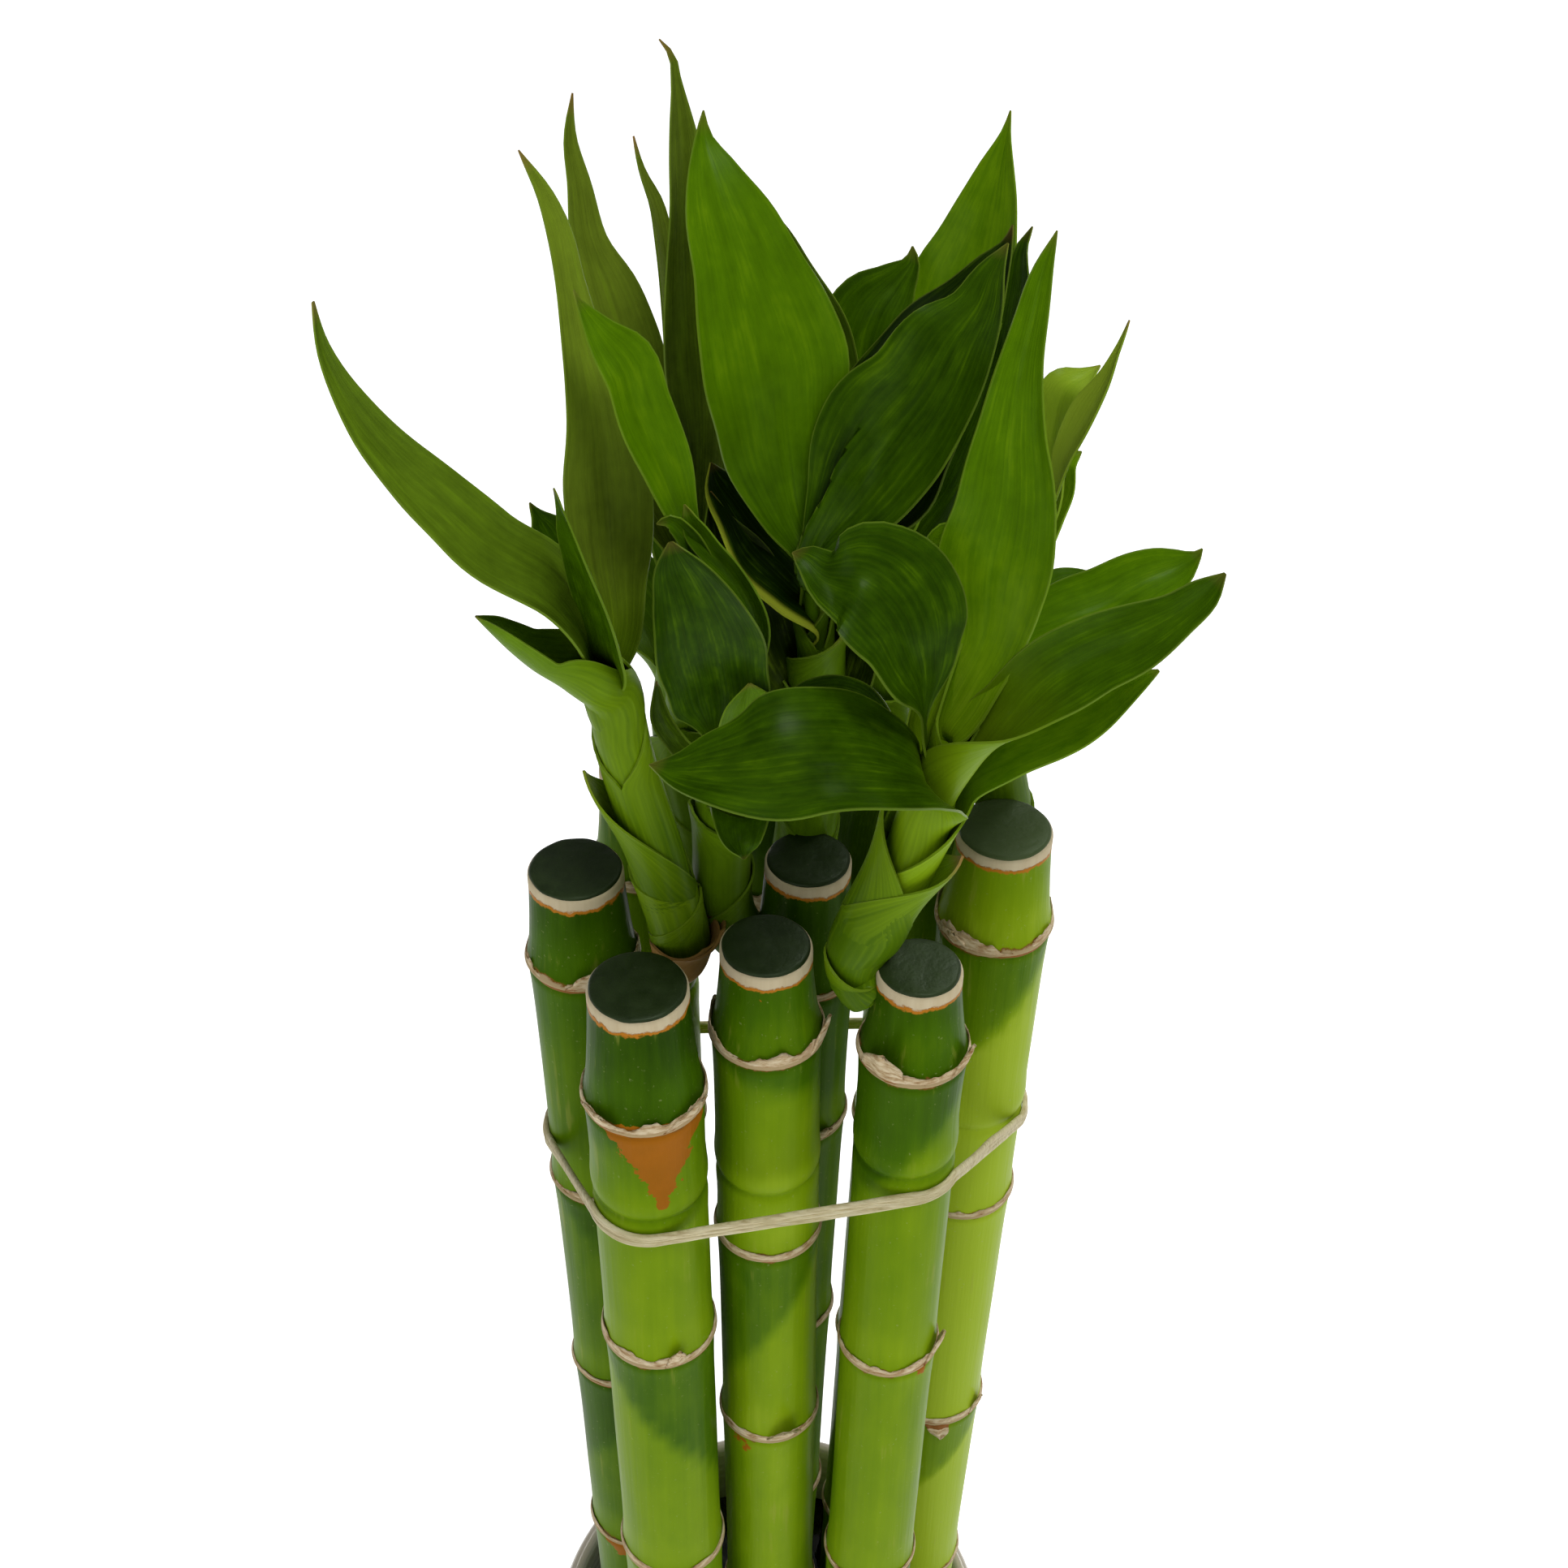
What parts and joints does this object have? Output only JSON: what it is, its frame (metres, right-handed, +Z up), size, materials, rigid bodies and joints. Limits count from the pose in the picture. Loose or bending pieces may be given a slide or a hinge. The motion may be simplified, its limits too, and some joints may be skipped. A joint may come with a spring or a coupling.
{
  "type": "lucky bamboo",
  "caption": "Bundle of green cut canes tied with raffia, with leafy shoots growing near their wax-sealed tops, standing in a plain round vase of water.",
  "frame": {"origin": "centre of the vase's underside, on the surface that it stands on", "axes": "+Z up along the canes, -Y towards the viewer, +X to the picture's right"},
  "size_m": [0.1025, 0.1098, 0.3892],
  "materials": {
    "glaze": "plain pale glaze, glossy",
    "water": "clear still water",
    "cane": "smooth living green cane, satin",
    "wax": "dark green sealing wax, matt",
    "raffia": "dry straw-coloured raffia, matt",
    "leaf": "living leaf, waxy satin"
  },
  "bodies": {
    "root": {"vase": "glaze", "water": "water", "tie": "raffia", "cane_1": "cane", "cane_2": "cane", "cane_3": "cane", "cane_4": "cane", "cane_5": "cane", "cane_6": "cane", "cane_7": "cane", "cane_8": "cane", "cane_9": "cane", "wax_1": "wax", "wax_2": "wax", "wax_3": "wax", "wax_4": "wax", "wax_5": "wax", "wax_6": "wax", "wax_7": "wax", "wax_8": "wax", "wax_9": "wax", "shoot_1": "leaf", "shoot_2": "leaf", "shoot_3": "leaf", "shoot_4": "leaf", "shoot_5": "leaf", "shoot_6": "leaf", "shoot_7": "leaf"}
  },
  "joints": []
}
